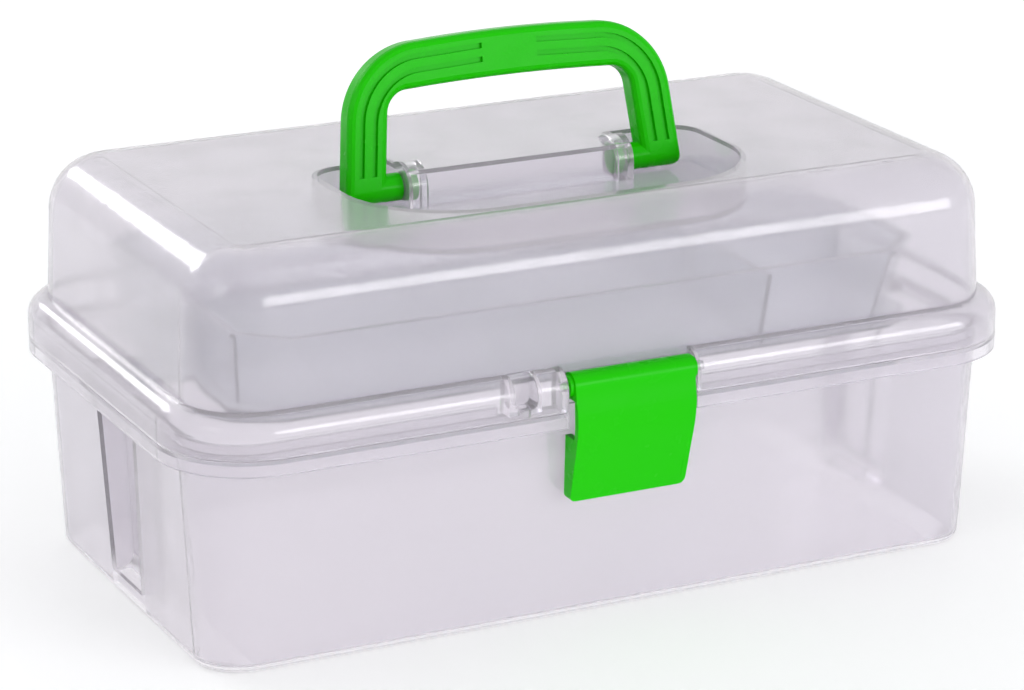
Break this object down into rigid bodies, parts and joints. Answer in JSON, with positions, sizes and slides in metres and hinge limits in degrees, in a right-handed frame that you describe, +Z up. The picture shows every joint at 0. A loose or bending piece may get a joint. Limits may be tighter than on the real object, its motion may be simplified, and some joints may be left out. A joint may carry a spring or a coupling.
{
  "type": "bead storage box",
  "caption": "Clear plastic craft box: drafted tub, hinged domed lid with a sunk folding handle, front latch and a divided lift-out tray.",
  "frame": {"origin": "middle of the underside of the tub, on the surface it stands on", "axes": "+X along the long side, -Y towards the latch, +Y towards the hinge, +Z up"},
  "size_m": [0.33, 0.2043, 0.1947],
  "materials": {
    "clear_tub": "clear polypropylene, slightly milky with a cool lavender cast",
    "clear_lid": "clear polypropylene, slightly milky with a cool lavender cast",
    "clear_tray": "milky clear polypropylene",
    "green_handle": "glossy bright green",
    "green_latch": "glossy bright green"
  },
  "bodies": {
    "tub": {"storage_tub": "clear_tub"},
    "lid": {"domed_lid": "clear_lid"},
    "tray": {"lift_out_tray": "clear_tray"},
    "handle": {"carry_handle": "green_handle"},
    "latch": {"front_latch": "green_latch"}
  },
  "joints": [
    {"name": "lid_hinge", "type": "hinge", "parent": "tub", "child": "lid", "pos_m": [0, 0.1012, 0.0823], "axis": [-1, 0, 0], "range_deg": [0, 110]},
    {"name": "latch_hinge", "type": "hinge", "parent": "lid", "child": "latch", "pos_m": [0, -0.0929, 0.0912], "axis": [-1, 0, 0], "range_deg": [0, 110]},
    {"name": "handle_fold", "type": "hinge", "parent": "lid", "child": "handle", "pos_m": [0, 0, 0.1422], "axis": [1, 0, 0], "range_deg": [0, 99.5]},
    {"name": "tray_lift", "type": "slide", "parent": "tub", "child": "tray", "axis": [0, 0, 1], "range_m": [0, 0.08]}
  ],
  "couplings": [
    {"joint": "tray_lift", "follows": "lid_hinge", "m_per_rad": 0.04}
  ]
}
